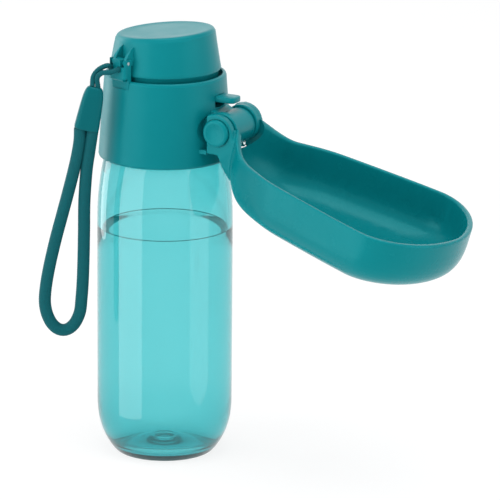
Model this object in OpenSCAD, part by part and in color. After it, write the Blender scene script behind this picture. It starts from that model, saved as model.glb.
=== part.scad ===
// Travel water bottle for a dog, with a fold-up drinking trough and a wrist lanyard.
// Millimetres. Origin at the middle of the base, +Z up, +X towards the trough.

/* [Bottle] */
// Outside diameter of the bottle
bottle_d = 68; // [62:1:74]
// Height of the bottle's body, up to where the collar starts
body_h = 153; // [140:1:170]
// Thickness of the bottle's wall
bottle_wall = 2.4; // [1.8:0.1:3]
// Height of the rounded heel
heel_h = 28; // [20:1:36]
// How far the heel draws in to the foot
heel_in = 9; // [6:0.5:10]
// How far the middle of the base is pushed up
punt_h = 6; // [3:0.5:9]
// Height of the sloping shoulder
shoulder_h = 32; // [24:1:40]
// How far the shoulder draws in
shoulder_in = 3.4; // [2:0.2:4.4]
// Outside diameter of the neck
neck_d = 50; // [47:0.5:52]
// Height of the neck above the body
neck_h = 17; // [15:0.5:20]
// Thickness of the neck's wall
neck_wall = 2.2; // [1.8:0.1:2.6]

/* [Collar] */
// Height of the collar
collar_h = 42.5; // [41:0.5:48]
// How much smaller in radius the collar is than the bottle
collar_step = 0.7; // [0.2:0.1:1.5]
// How much the collar's radius shrinks towards its top
collar_taper = 2.9; // [1:0.1:3.4]
// Thickness of the web that closes the neck
web_t = 5; // [4.5:0.1:6]
// Depth of the recess that the cap closes into
recess_depth = 4.1; // [3.5:0.1:5]
// Thickness of the deck under the cap
deck_t = 2.5; // [2:0.1:3]
// Depth left between neck and bore for the thread
thread_depth = 1.4; // [1:0.1:1.8]
// Thickness of the neck seal
seal_t = 2; // [1.5:0.1:2.5]

/* [Flip cap] */
// Height of the cap at its middle, from the skirt's edge
cap_h = 24.3; // [20:0.5:30]
// How much the cap's radius shrinks towards its top
cap_taper = 2.9; // [1:0.1:4]
// Thickness of the cap's wall
cap_wall = 2; // [1.5:0.1:2.5]
// Slope of the cap's top in degrees, high side over the trough
cap_slant = 4.2; // [0:0.1:7]
// Radius on the cap's top edge
cap_round = 1.6; // [0.8:0.1:3]
// Diameter of the cap's hinge pin
cap_pin_d = 1.8; // [1.4:0.1:2]
// Outside diameter of the drinking spout
spout_d = 17; // [15:0.5:18]
// Wall of the drinking spout
spout_wall = 3; // [2:0.2:4]

/* [Lanyard lug] */
// Direction of the lug round the collar, in degrees from +X
lug_turn = 252; // [235:1:265]
// Width of the lug
lug_w = 11.8; // [11.4:0.1:13]
// Radial depth of the lug
lug_depth = 4.4; // [4.2:0.1:5.4]
// Height of the lug above the collar's rim
lug_h = 11; // [10.5:0.1:13]
// Bore of the cord tunnel
tunnel_d = 3; // [2.8:0.1:3.2]
// Thickness of each of the cap's two hinge arms
arm_t = 1.8; // [1.4:0.1:2]

/* [Trough] */
// Length of the trough from its hinge end to its tip
trough_l = 126.5; // [110:1:145]
// Greatest outside width of the trough
trough_w = 88; // [80:1:96]
// Outside width where the sides meet the waist
waist_w = 70; // [62:1:76]
// Outside width across the hinge ears
ear_span = 37; // [36:0.5:42]
// Depth of the trough
trough_depth = 30; // [24:1:34]
// Thickness of the trough's wall
trough_wall = 2.4; // [1.8:0.1:3]
// Slope of the open trough in degrees
trough_tilt = 16; // [10:1:22]
// Distance of the trough's rim under the hinge pin
rim_drop = 4.8; // [4:0.1:6]
// Length of the trough's rounded tip
tip_l = 35.5; // [28:0.5:45]
// Length over which the trough widens from its hinge
flare_l = 33; // [28:1:40]

/* [Trough hinge] */
// Distance of the hinge pin outside the bottle's wall
pin_out = 4; // [3.6:0.1:5]
// Height of the hinge pin above the collar's lower edge
pin_rise = 19; // [18:0.5:20]
// Diameter of the hinge pin
pin_d = 5; // [4:0.1:6]
// Diameter of the hinge barrel
barrel_d = 15; // [14:0.5:15.6]
// Width of the hinge barrel
barrel_w = 21; // [18:0.5:22]
// Diameter of the friction washers
washer_d = 17.8; // [16:0.2:18.4]
// Thickness of each ear
ear_t = 4.5; // [4:0.1:5]
// Diameter of the round caps over the pin's ends
pin_cap_d = 13.8; // [12:0.2:14.4]
// How far the round caps stand out
pin_cap_h = 2; // [1.4:0.1:2.6]

/* [Water release] */
// How far the release tab reaches past the collar's lower edge
tab_out = 9; // [7:0.1:9.6]
// Width of the release tab
tab_w = 9; // [8:0.2:10]
// Thickness of the release tab
tab_t = 2.8; // [2.4:0.1:3]
// Travel of the release tab
tab_travel = 2.5; // [2:0.1:2.6]
// Distance of the valve from the middle
valve_x = 16.5; // [16.3:0.1:17]
// Diameter of the valve stem
stem_d = 2.8; // [2.4:0.1:3]
// Wire diameter of the valve spring
spring_wire = 0.7; // [0.5:0.1:0.8]
// Number of turns of the valve spring
spring_turns = 4; // [3:1:5]
// Outside diameter of the clear outlet tube
outlet_d = 5; // [4.4:0.1:5.2]
// How far the outlet tube reaches out of the collar
outlet_out = 11.5; // [8:0.5:12]
// Wall of the outlet tube
outlet_wall = 0.8; // [0.5:0.1:1]

/* [Lanyard] */
// Diameter of the thin cord through the lug
cord_d = 2.3; // [2:0.1:2.4]
// Diameter of the wrist cord
strap_d = 6.2; // [5:0.1:6.4]
// Length of the cord clip
clip_l = 22; // [20:0.5:24]
// Width of the cord clip at its lower end
clip_w = 12.4; // [12:0.1:14]
// Thickness of the cord clip at its lower end
clip_t = 7.4; // [7:0.1:9]

/* [Hidden] */

// Clearances
run_gap = 0.05;    // round parts that turn or slide in each other
seat_gap = 0.1;    // parts that stand on each other on different bodies
move_gap = 0.3;    // parts that pass each other
cap_gap = 0.5;     // round the flip cap's skirt
swing_gap = 0.4;   // round the swinging ears and the trough's end

round_fn = 96;
pin_fn = 48;

// Heights and radii that follow from the sizes above
bottle_r = bottle_d / 2;
foot_r = bottle_r - heel_in;
foot_w = 2.5;
shoulder_r = bottle_r - shoulder_in;
neck_r = neck_d / 2;
neck_top = body_h + neck_h;
collar_r = bottle_r - collar_step;
collar_top_r = collar_r - collar_taper;
collar_top = body_h + collar_h;
web_low = neck_top + seal_t;
web_top = web_low + web_t;
bore_r = neck_r + thread_depth;
skirt_r = shoulder_r + move_gap;
skirt_h = 4;
cavity_r = bore_r + 1;
deck_top = collar_top - recess_depth;
deck_low = deck_top - deck_t;
recess_r = collar_top_r - 2;
rim_round = 1.5;

seal_groove = 1.3;
deck_seal_z = deck_top - deck_t / 2;
spout_r = spout_d / 2;
spout_foot_r = spout_r + 1.2;
spout_foot_h = 2;

cap_low = deck_top + cap_gap;
cap_r = recess_r - cap_gap;
cap_top_r = cap_r - cap_taper;
cap_top = cap_low + cap_h;
spout_top = cap_top - cap_wall - 7;

lug_in = recess_r;
lug_out = lug_in + lug_depth;
lug_top = collar_top + lug_h;
cap_pin_r = lug_in + 1.6;
cap_pin_z = lug_top - 1.8;
eye_r = cap_pin_d / 2 + 0.7;
arm_y = lug_w / 2 - 1.1 - arm_t / 2;
tunnel_bend = 2.8;
tunnel_y = -1;
tunnel_z = lug_top - 4.8;

pin_x = bottle_r + pin_out;
pin_z = body_h + pin_rise;
ear_out = ear_span / 2;
ear_in = ear_out - ear_t;
washer_t = ear_in - barrel_w / 2 - 2 * run_gap;
ear_back = 5.6;
ear_up = 8.7;
ear_down = 11;
ear_sweep = sqrt(pow(ear_back, 2) + pow(ear_up, 2)) + swing_gap;
outlet_z = pin_z - barrel_d / 2 - outlet_d / 2 - 0.6;
outlet_tip = collar_r - 1 + outlet_out;
end_sweep = sqrt(pow(pin_z - outlet_z + outlet_d / 2, 2) + pow(outlet_tip - pin_x, 2)) + swing_gap;
rim_start = 5;
tip_s = rim_start + trough_l;
belly_s = tip_s - tip_l;
waist_s = rim_start + flare_l;
lip_round = 0.7;

tab_top = deck_low - 1.9;
tab_low = tab_top - tab_t;
tab_tip = collar_r + tab_out;
guide_r = stem_d / 2 + 3.2;
guide_top = tab_low - tab_travel - move_gap;
spring_r = guide_r + 0.6 + spring_wire / 2;
port_r = 2.2;
duct_r = 1.5;
side_r = 1.2;
duct_x = bore_r + 1.6 + duct_r;
tube_x = duct_x + duct_r + 0.3;
duct_z = web_low + web_t / 2 + 0.4;

// The lug's frame: its own X points out of the collar
function lug_point(out, side, up) = [
  out * cos(lug_turn) - side * sin(lug_turn),
  out * sin(lug_turn) + side * cos(lug_turn),
  up
];

// The cords' routes, chosen by hand
clip_top_at = [-18.5, -37.5, 193];
clip_lean = [-4, -2, -21.6];
cord_out = [[-14, -33.5, 203.4], [-17.5, -35.6, 201.5], [-19.8, -37, 198]];
cord_back = [[-11, -35.5, 200.8], [-15, -36.8, 200.2], [-17.4, -37.4, 197.5]];
strap_left = [
  [-25.4, -41.2, 165], [-27, -42, 155], [-30, -43.6, 141], [-33, -45.2, 128], [-36, -46.8, 115],
  [-38.6, -48.2, 102], [-40.2, -49, 92], [-40.8, -49.4, 84], [-40.2, -49.1, 78.2], [-38.7, -48.3, 73.6],
  [-37, -47.4, 70.8], [-35, -46.3, 69]
];
strap_foot = [-32.8, -45.1, 68.4];
strap_right = [
  [-30.6, -43.9, 69], [-28.6, -42.8, 70.8], [-26.9, -41.9, 73.6], [-25.4, -41.1, 78.2], [-24.8, -40.8, 84],
  [-24.2, -40.5, 93], [-23.8, -40.3, 105], [-23.5, -40.2, 120], [-23.3, -40.1, 135], [-22.4, -39.6, 150], [-21.2, -38.9, 160]
];

function smooth(x) = let(k = min(1, max(0, x))) k * k * (3 - 2 * k);
function unit(v) = v / norm(v);

module ring_shape(points) {
  rotate_extrude($fn = round_fn) polygon(points);
}

// A bore or rod along Y
module cross_rod(r, half_w, x, z) {
  translate([x, half_w, z]) rotate([90, 0, 0]) cylinder(r = r, h = 2 * half_w, $fn = pin_fn);
}

// Bottle: heel, straight side, drawn-in shoulder and neck, with a pushed-up base
heel_steps = 8;
shoulder_steps = 6;
function heel_r(z) = bottle_r - heel_in * pow(1 - min(1, z / heel_h), 2.6);
function shoulder_at(k) = [bottle_r - shoulder_in * k * k, body_h - 1 - shoulder_h * (1 - k)];
function bottle_side(t) = concat(
  [for (i = [0:heel_steps]) let(z = heel_h * pow(i / heel_steps, 1.4)) [heel_r(z) - t, z + t * (1 - i / heel_steps)]],
  [for (i = [0:shoulder_steps]) shoulder_at(i / shoulder_steps) - [t, 0]],
  [[shoulder_r - 1.6 - t, body_h + 1.4], [shoulder_r - 3.6 - t, body_h + 2.6]]
);
function punt(t) = [for (i = [0:5]) let(k = i / 5) [(foot_r - foot_w) * k, t + punt_h * (1 - k * k)]];

module bottle() {
  outer = concat(punt(0), bottle_side(0), [[neck_r, body_h + 4], [neck_r, neck_top]]);
  inner = concat(
    punt(bottle_wall), bottle_side(bottle_wall),
    [[neck_r - neck_wall, body_h + 4 - 0.4], [neck_r - neck_wall, neck_top + 1], [0, neck_top + 1]]
  );
  color([0.45, 0.8, 0.82, 0.5])
    difference() {
      ring_shape(concat(outer, [[0, neck_top]]));
      ring_shape(inner);
    }
}

module neck_seal() {
  color("white")
    ring_shape([
      [neck_r - neck_wall - 0.3, neck_top + seat_gap], [neck_r + 0.6, neck_top + seat_gap],
      [neck_r + 0.6, web_low - seat_gap], [neck_r - neck_wall - 0.3, web_low - seat_gap]
    ]);
}

// Collar: tapered shell with the thread's bore, the web over the neck and the cap's recess
module collar() {
  relief_out = ear_out + move_gap;
  color("teal")
    difference() {
      union() {
        ring_shape([
          [skirt_r, body_h + 0.4], [skirt_r + 0.5, body_h], [collar_r - 1, body_h],
          [collar_r - 0.3, body_h + 0.4], [collar_r, body_h + 1.2],
          [collar_top_r, collar_top - rim_round], [collar_top_r - 0.4, collar_top - 0.5],
          [collar_top_r - 1.2, collar_top], [recess_r + 0.3, collar_top], [recess_r, collar_top - 0.3],
          [recess_r, deck_low], [cavity_r, deck_low], [cavity_r, web_top], [0, web_top], [0, web_low],
          [bore_r, web_low], [bore_r, body_h + skirt_h + 3], [skirt_r, body_h + skirt_h]
        ]);
        for (side = [-1, 1]) trough_stop(side);
      }
      cylinder(r = spout_r - spout_wall, h = 3 * web_top, center = true, $fn = pin_fn);
      valve_passage();
      vent_seat();
      tab_slot();
      lug_notch();
      for (side = [-1, 1])
        translate([0, side * (relief_out + barrel_w / 2) / 2, 0])
          cross_rod(ear_sweep, (relief_out - barrel_w / 2) / 2, pin_x, pin_z);
    }
}

// Ledge that the ear's flat back rests on when the trough is open
module trough_stop(side) {
  stop_x = pin_x - ear_back - seat_gap;
  translate([stop_x - 8, side > 0 ? ear_in + seat_gap : -ear_in - seat_gap - 2.4, pin_z - ear_down - 0.6])
    cube([8, 2.4, 2]);
}

// Port under the valve, the way through the web, and the drop to the outlet
module valve_passage() {
  translate([valve_x, 0, web_low - 1]) cylinder(r = port_r, h = web_t + 2, $fn = pin_fn);
  translate([valve_x, 0, duct_z]) rotate([0, 90, 0]) cylinder(r = side_r, h = duct_x - valve_x, $fn = pin_fn);
  translate([duct_x, 0, outlet_z - duct_r]) cylinder(r = duct_r, h = duct_z - outlet_z + 2 * duct_r, $fn = pin_fn);
  translate([duct_x, 0, outlet_z]) rotate([0, 90, 0]) cylinder(r = side_r, h = 10, $fn = pin_fn);
  translate([tube_x, 0, outlet_z])
    rotate([0, 90, 0]) cylinder(r = outlet_d / 2, h = 10, $fn = pin_fn);
}

module tab_slot() {
  translate([cavity_r - 3, -tab_w / 2 - move_gap, tab_low - tab_travel - move_gap])
    cube([12, tab_w + 2 * move_gap, tab_t + tab_travel + 2 * move_gap]);
}

module lug_notch() {
  rotate([0, 0, lug_turn])
    translate([recess_r - 0.6, -lug_w / 2 - seat_gap, deck_top])
      cube([10, lug_w + 2 * seat_gap, recess_depth + 1]);
}

vent_x = -16;
vent_r = 3;
module vent_seat() {
  translate([vent_x, 0, web_low - 1]) cylinder(r = vent_r - 1, h = web_t + 2, $fn = pin_fn);
}

// Deck under the cap: it closes the collar and holds the spout upright
module top_deck() {
  in_r = spout_r + run_gap;
  color("darkcyan")
    ring_shape([
      [in_r, deck_low], [recess_r - 0.02, deck_low], [recess_r - 0.02, deck_top], [in_r, deck_top],
      [in_r, deck_seal_z + seal_groove / 2], [in_r + seal_groove, deck_seal_z + seal_groove / 2],
      [in_r + seal_groove, deck_seal_z - seal_groove / 2], [in_r, deck_seal_z - seal_groove / 2]
    ]);
}

// Sealing ring in the deck's groove, round the spout
module deck_seal() {
  ring_r = seal_groove / 2 - 0.05;
  color("dimgray")
    translate([0, 0, deck_seal_z])
      rotate_extrude($fn = round_fn) translate([spout_r + run_gap + seal_groove / 2, 0]) circle(r = ring_r, $fn = 16);
}

module drinking_spout() {
  color("whitesmoke")
    ring_shape([
      [spout_r - spout_wall, web_top], [spout_foot_r, web_top], [spout_foot_r, web_top + spout_foot_h],
      [spout_r, web_top + spout_foot_h], [spout_r, spout_top - 3], [spout_r - 0.5, spout_top - 0.8],
      [spout_r - 1.3, spout_top], [spout_r - spout_wall + 0.6, spout_top],
      [spout_r - spout_wall, spout_top - 0.6]
    ]);
}

// Soft vent that lets air back into the bottle
module vent_valve() {
  color("lightgray")
    translate([vent_x, 0, 0])
      ring_shape([
        [0.6, web_low - 3.5], [1.2, web_low - 3.5], [vent_r - 1 - run_gap, web_low - 0.4],
        [vent_r - 1 - run_gap, web_top], [vent_r, web_top], [vent_r, web_top + 1.4],
        [0.6, web_top + 1.4]
      ]);
}

// Barrel that carries the trough, joined to the collar by a curved foot
module hinge_barrel() {
  half = barrel_w / 2;
  color("lightseagreen")
    difference() {
      union() {
        cross_rod(barrel_d / 2, half, pin_x, pin_z);
        translate([bottle_r - 8, -half, pin_z - barrel_d / 2 + 1.4])
          cube([pin_x - bottle_r + 8, barrel_w, barrel_d - 2.8]);
      }
      cylinder(r1 = wall_r(0) + 0.02, r2 = wall_r(1) + 0.02, h = collar_top, $fn = round_fn);
      cross_rod(pin_d / 2 + run_gap, half + 1, pin_x, pin_z);
    }
}

// The collar's outer cone, carried on to z = 0 for k = 0 and to the rim for k = 1
function wall_r(k) =
  let(slope = collar_taper / (collar_h - 1.2 - rim_round), top = collar_top_r - slope * rim_round)
  top + slope * collar_top * (1 - k);

module outlet_tube() {
  color([0.85, 0.95, 0.95, 0.6])
    translate([tube_x, 0, outlet_z])
      rotate([0, 90, 0])
        difference() {
          cylinder(r = outlet_d / 2, h = outlet_tip - tube_x, $fn = pin_fn);
          translate([0, 0, -1])
            cylinder(r = outlet_d / 2 - outlet_wall, h = outlet_tip - tube_x + 2, $fn = pin_fn);
        }
}

// Guide for the valve stem, with a groove for its sealing ring
module valve_guide() {
  color("whitesmoke")
    translate([valve_x, 0, 0])
      ring_shape([
        [stem_d / 2 + run_gap, web_top + 0.6], [port_r + 0.2, web_top], [guide_r, web_top],
        [guide_r, guide_top], [stem_d / 2 + 1.2, guide_top], [stem_d / 2 + 1.2, guide_top - 1.3],
        [stem_d / 2 + run_gap, guide_top - 1.3]
      ]);
}

module stem_ring() {
  color("dimgray")
    translate([valve_x, 0, guide_top - 0.7])
      rotate_extrude($fn = pin_fn) translate([stem_d / 2 + 0.6, 0]) circle(r = 0.5, $fn = 16);
}

module valve_stem() {
  color("silver")
    translate([valve_x, 0, 0])
      union() {
        translate([0, 0, web_low - 2.4]) cylinder(r = stem_d / 2, h = tab_low - web_low + 2.4, $fn = pin_fn);
        translate([0, 0, web_low - 3]) cylinder(r = 3, h = 1, $fn = pin_fn);
      }
}

module valve_seal() {
  color("dimgray")
    translate([valve_x, 0, web_low - 2])
      difference() {
        cylinder(r = port_r + 1.4, h = 2 - seat_gap, $fn = pin_fn);
        translate([0, 0, -1]) cylinder(r = stem_d / 2, h = 4, $fn = pin_fn);
      }
}

// A tube swept along a line of points, with flat ends
function tangent(p, i) = unit(p[min(i + 1, len(p) - 1)] - p[max(i - 1, 0)]);
module tube(path, r, sides, up = [0.1, 0.2, 1], end_a = undef, end_b = undef) {
  last = len(path) - 1;
  points = [
    for (i = [0:last])
      let(
        t = i == 0 && end_a != undef ? unit(end_a) : i == last && end_b != undef ? unit(end_b) : tangent(path, i),
        a = unit(cross(t, up)),
        b = cross(t, a)
      )
      for (k = [0:sides - 1]) path[i] + r * (a * cos(360 * k / sides) + b * sin(360 * k / sides))
  ];
  sides_faces = [
    for (i = [0:last - 1], k = [0:sides - 1])
      let(a = i * sides + k, b = i * sides + (k + 1) % sides)
      each [[a, b, b + sides], [a, b + sides, a + sides]]
  ];
  cap_a = [for (k = [1:sides - 2]) [0, k + 1, k]];
  cap_b = [for (k = [1:sides - 2]) [last * sides, last * sides + k, last * sides + k + 1]];
  polyhedron(points = points, faces = concat(sides_faces, cap_a, cap_b));
}

// Valve spring: one wire wound between the collar's web and the tab
spring_low = web_top + spring_wire / 2 + 0.05;
spring_high = tab_low - spring_wire / 2 - 0.05;
module valve_spring() {
  color("silver")
    translate([valve_x, 0, 0])
      tube([
        for (i = [0:8 * spring_turns])
          let(a = 45 * i)
          [spring_r * cos(a), spring_r * sin(a), spring_low + (spring_high - spring_low) * i / (8 * spring_turns)]
      ], spring_wire / 2, 6);
}

// Release tab: the plate outside, and the arm inside that presses the stem
module release_tab() {
  nose = 2;
  half = tab_w / 2;
  color("mediumturquoise")
    union() {
      translate([0, 0, tab_low])
        linear_extrude(tab_t)
          union() {
            polygon([
              [valve_x - spring_r, -half], [tab_tip - nose, -half], [tab_tip, -half + nose],
              [tab_tip, half - nose], [tab_tip - nose, half], [valve_x - spring_r, half]
            ]);
            for (side = [-1, 1]) translate([tab_tip - nose, side * (half - nose)]) circle(r = nose, $fn = 32);
          }
      // Shield inside the wall that hides the slot under the tab
      translate([cavity_r - 2.6, -half - 1, tab_low - tab_travel]) cube([1.2, tab_w + 2, tab_travel + tab_t + 1.2]);
    }
}

// Lug for the cord: a block in the collar's notch, with slots for the cap's arms
module lanyard_lug() {
  corner = 1.6;
  color("teal")
    rotate([0, 0, lug_turn])
      difference() {
        union() {
          translate([0, 0, collar_top + 1.6])
            linear_extrude(lug_h - 1.6) lug_plan(corner);
          translate([recess_r, -lug_w / 2, deck_top])
            cube([collar_top_r - recess_r - 0.3, lug_w, collar_top - deck_top + 2]);
          // Rounded underside
          translate([lug_out - corner, 0, collar_top + 1.6])
            rotate([90, 0, 0]) cylinder(r = corner, h = lug_w - 2 * corner, center = true, $fn = 32);
          translate([recess_r, -lug_w / 2 + corner, collar_top])
            cube([lug_depth - corner, lug_w - 2 * corner, 2]);
        }
        translate([lug_out, tunnel_y, tunnel_z])
          rotate([0, 0, 90])
            rotate_extrude(angle = 180, $fn = 48) translate([tunnel_bend, 0]) circle(r = tunnel_d / 2, $fn = 24);
        for (side = [-1, 1])
          translate([lug_in - 1, side * arm_y - arm_t / 2 - move_gap, cap_pin_z - eye_r - move_gap])
            cube([lug_depth + 3, arm_t + 2 * move_gap, 20]);
        cross_rod(cap_pin_d / 2, lug_w, cap_pin_r, cap_pin_z);
      }
}

module lug_plan(corner) {
  polygon([
    [lug_in, -lug_w / 2], [lug_out - corner, -lug_w / 2], [lug_out, -lug_w / 2 + corner],
    [lug_out, lug_w / 2 - corner], [lug_out - corner, lug_w / 2], [lug_in, lug_w / 2]
  ]);
  for (side = [-1, 1])
    translate([lug_out - corner, side * (lug_w / 2 - corner)]) circle(r = corner, $fn = 32);
}

module cap_hinge_pin() {
  color("silver")
    rotate([0, 0, lug_turn]) cross_rod(cap_pin_d / 2, lug_w / 2 - 0.2, cap_pin_r, cap_pin_z);
}

// Flip cap: a tapered cup with a sloping top, lofted ring by ring
cap_sides = 64;
function cap_level(k, r, z) = [
  for (i = [0:cap_sides - 1])
    let(a = 360 * i / cap_sides, x = r * cos(a))
    [x, r * sin(a), z + k * x * tan(cap_slant)]
];
function cap_side(z) = cap_r - cap_taper * (z - cap_low) / cap_h;
module loft(rings, sides) {
  n = len(rings);
  points = [for (ring = rings) each ring];
  walls = [
    for (j = [0:n - 2], i = [0:sides - 1])
      let(a = j * sides + i, b = j * sides + (i + 1) % sides)
      each [[a, b + sides, b], [a, a + sides, b + sides]]
  ];
  low = [for (i = [1:sides - 2]) [0, i, i + 1]];
  high = [for (i = [1:sides - 2]) [(n - 1) * sides, (n - 1) * sides + i + 1, (n - 1) * sides + i]];
  polyhedron(points = points, faces = concat(walls, low, high));
}

module cap_shell() {
  mid = cap_top - 7;
  inner_top = cap_top - cap_wall;
  difference() {
    loft(concat(
      [cap_level(0, cap_r - 0.9, cap_low), cap_level(0, cap_side(cap_low + recess_depth), cap_low + recess_depth)],
      [cap_level(0.4, cap_side(mid), mid)],
      [for (i = [0:4])
        let(a = 22.5 * i)
        cap_level(1, cap_top_r - cap_round * (1 - cos(a)), cap_top - cap_round * (1 - sin(a)))],
      [cap_level(1, 0.4 * cap_top_r, cap_top)]
    ), cap_sides);
    loft([
      cap_level(0, cap_r - 0.9 - cap_wall, cap_low - 1),
      cap_level(0, cap_side(cap_low + recess_depth) - cap_wall, cap_low + recess_depth),
      cap_level(1, cap_top_r - cap_wall - 1.5, inner_top - 1.5),
      cap_level(1, cap_top_r - cap_wall - 3, inner_top)
    ], cap_sides);
  }
}

module flip_cap() {
  color("teal")
    difference() {
      union() {
        cap_shell();
        rotate([0, 0, lug_turn])
          for (side = [-1, 1])
            translate([0, side * arm_y + arm_t / 2, 0])
              rotate([90, 0, 0]) linear_extrude(arm_t) cap_arm();
      }
      rotate([0, 0, lug_turn]) cross_rod(cap_pin_d / 2 + run_gap, lug_w, cap_pin_r, cap_pin_z);
    }
}

// Outline of one arm: an eye round the pin and a fin up the cap's wall
module cap_arm() {
  tip_z = cap_top - 6.5;
  union() {
    translate([cap_pin_r, cap_pin_z]) circle(r = eye_r, $fn = 32);
    polygon([
      [cap_side(cap_pin_z) - 0.9, cap_pin_z - eye_r], [cap_pin_r, cap_pin_z - eye_r],
      [cap_pin_r + eye_r, cap_pin_z], [cap_pin_r + 0.9, cap_pin_z + 2],
      [cap_side(tip_z) + 1.2, tip_z - 2.2], [cap_side(tip_z) - 0.3, tip_z], [cap_side(tip_z) - 0.9, tip_z]
    ]);
  }
}

// Plug under the cap that stops the spout
module cap_plug() {
  bore = spout_r - spout_wall;
  plug_post = 3.4;
  post_top = cap_top - cap_wall - plug_post * tan(cap_slant) - run_gap;
  color("whitesmoke")
    ring_shape([
      [0, spout_top - 1.6], [bore - 1.4, spout_top - 1.6], [bore - 0.7, spout_top - 0.6],
      [bore - 0.4, spout_top + 0.2], [spout_r - 0.4, spout_top + 0.2], [spout_r - 0.4, spout_top + 1.6],
      [plug_post, spout_top + 1.6], [plug_post, post_top], [0, post_top]
    ]);
}

// Soft ring that the skirt holds, which closes on the deck
module cap_seal() {
  seal_r = cap_r - 0.9 - cap_wall - run_gap;
  color("dimgray")
    ring_shape([
      [seal_r - 1.6, deck_top + seat_gap], [seal_r, deck_top + seat_gap],
      [seal_r, cap_low + 1.6], [seal_r - 1.6, cap_low + 1.6]
    ]);
}

// Trough: a spoon-shaped bowl. Its frame runs along the rim from the hinge
// (s), across it (t) and up out of it (n).
tip_power = 2.3;
wall_power = 3.2;
function trough_point(s, t, n) = [
  pin_x + s * cos(trough_tilt) + (n - rim_drop) * sin(trough_tilt),
  t,
  pin_z - s * sin(trough_tilt) + (n - rim_drop) * cos(trough_tilt)
];
flank_power = 1.2;
neck_half = ear_out - 2;
function flank(s) =
  (trough_w - (trough_w - waist_w) * pow((belly_s - s) / (belly_s - waist_s), flank_power)) / 2;
function half_width(s) =
  s > belly_s
    ? trough_w / 2 * pow(max(0, 1 - pow((s - belly_s) / (tip_s - belly_s), tip_power)), 1 / tip_power)
    : hinge_end(s) * (flank(s) - (flank(rim_start) - neck_half) * (1 - smooth((s - rim_start) / (waist_s - rim_start))));
// Rounding of the outline at its hinge end, and the rim's rise towards the ears
hinge_round = 15;
rim_rise = 5;
rise_s = 24;
function hinge_end(s) = pow(1 - pow(1 - min(1, max(0, (s - rim_start) / hinge_round)), 2.2), 1 / 2.2);
function rim_at(s) = rim_rise * (1 - smooth((s - rim_start) / rise_s));
side_steps = 28;
mid_s = rim_start + 0.52 * trough_l;
function outline(inset) = let(
    a = rim_start + inset,
    b = tip_s - inset,
    near = [
      for (i = [0:side_steps - 1])
        let(s = a + (b - a) * (1 - cos(180 * i / side_steps)) / 2)
        [s, max(0, half_width(rim_start + (s - a) * trough_l / (b - a)) - inset)]
    ]
  ) concat(
    near,
    [[b, 0]],
    [for (i = [side_steps - 1:-1:1]) [near[i][0], -near[i][1]]]
  );
outline_n = 2 * side_steps;
function lip_ring(inset, n) = [for (p = outline(inset)) trough_point(p[0], p[1], rim_at(p[0]) + n)];
function bowl_ring(line, k, depth) = [
  for (p = line)
    trough_point(
      mid_s + (p[0] - mid_s) * k,
      p[1] * k,
      rim_at(p[0]) * pow(k, 8) - depth * pow(1 - pow(k, wall_power), 1 / wall_power)
    )
];
bowl_steps = [0.992, 0.97, 0.93, 0.87, 0.79, 0.68, 0.5, 0.25, 0.02];

module bowl() {
  difference() {
    loft(concat(
      [lip_ring(lip_round, 0), lip_ring(0, -lip_round)],
      [for (k = bowl_steps) bowl_ring(outline(0), k, trough_depth)]
    ), outline_n);
    loft(concat(
      [lip_ring(trough_wall - lip_round, 0.5), lip_ring(trough_wall, -lip_round)],
      [for (k = bowl_steps) bowl_ring(outline(trough_wall), k, trough_depth - trough_wall)]
    ), outline_n);
  }
}

// Outline of an ear, seen along the pin: flat back, round front, and a foot in the bowl's wall
module ear_shape() {
  foot_s = 14;
  function foot(n) = [
    foot_s * cos(trough_tilt) + (n - rim_drop) * sin(trough_tilt),
    (n - rim_drop) * cos(trough_tilt) - foot_s * sin(trough_tilt)
  ];
  union() {
    polygon([
      [-ear_back, -ear_down], [-ear_back, ear_up - 1], [-ear_back + 1, ear_up], [0, ear_up],
      [4.4, ear_up - 1.1], [7.5, ear_up - 4], [8.8, 0], [9.9, -2.8], foot(rim_at(foot_s)), foot(-5), foot(-9),
      [5, -16], [1, -ear_down - 0.6]
    ]);
    circle(r = ear_up, $fn = 48);
  }
}

module trough() {
  color("teal")
    difference() {
      union() {
        difference() {
          bowl();
          cross_rod(end_sweep, ear_in, pin_x, pin_z);
        }
        for (side = [-1, 1])
          translate([pin_x, side > 0 ? ear_out : -ear_in, pin_z])
            rotate([90, 0, 0]) linear_extrude(ear_t) ear_shape();
      }
      cross_rod(pin_d / 2, ear_out + 1, pin_x, pin_z);
      for (side = [-1, 1])
        translate([0, side * (ear_out + 1 - 0.6), 0])
          cross_rod(pin_cap_d / 2 + 0.2, 1, pin_x, pin_z);
    }
}

// Friction washer between barrel and ear
module washer(side) {
  color("lightseagreen")
    translate([pin_x, side * (barrel_w / 2 + run_gap + washer_t / 2), pin_z])
      rotate([90, 0, 0])
        difference() {
          cylinder(r = washer_d / 2, h = washer_t, center = true, $fn = pin_fn);
          cylinder(r = pin_d / 2, h = washer_t + 1, center = true, $fn = pin_fn);
        }
}

module washer_near() {
  washer(-1);
}

module washer_far() {
  washer(1);
}

module trough_pin() {
  color("silver") cross_rod(pin_d / 2, ear_out - 0.6, pin_x, pin_z);
}

module pin_cap(side) {
  color("lightseagreen")
    translate([pin_x, side * (ear_out - 0.6), pin_z])
      rotate([-90 * side, 0, 0])
        ring_shape([
          [0, 0], [pin_cap_d / 2, 0], [pin_cap_d / 2, pin_cap_h - 0.2], [pin_cap_d / 2 - 0.3, pin_cap_h + 0.3],
          [pin_cap_d / 2 - 1, pin_cap_h + 0.6], [0, pin_cap_h + 0.6]
        ]);
}

module pin_cap_near() {
  pin_cap(-1);
}

module pin_cap_far() {
  pin_cap(1);
}

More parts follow.
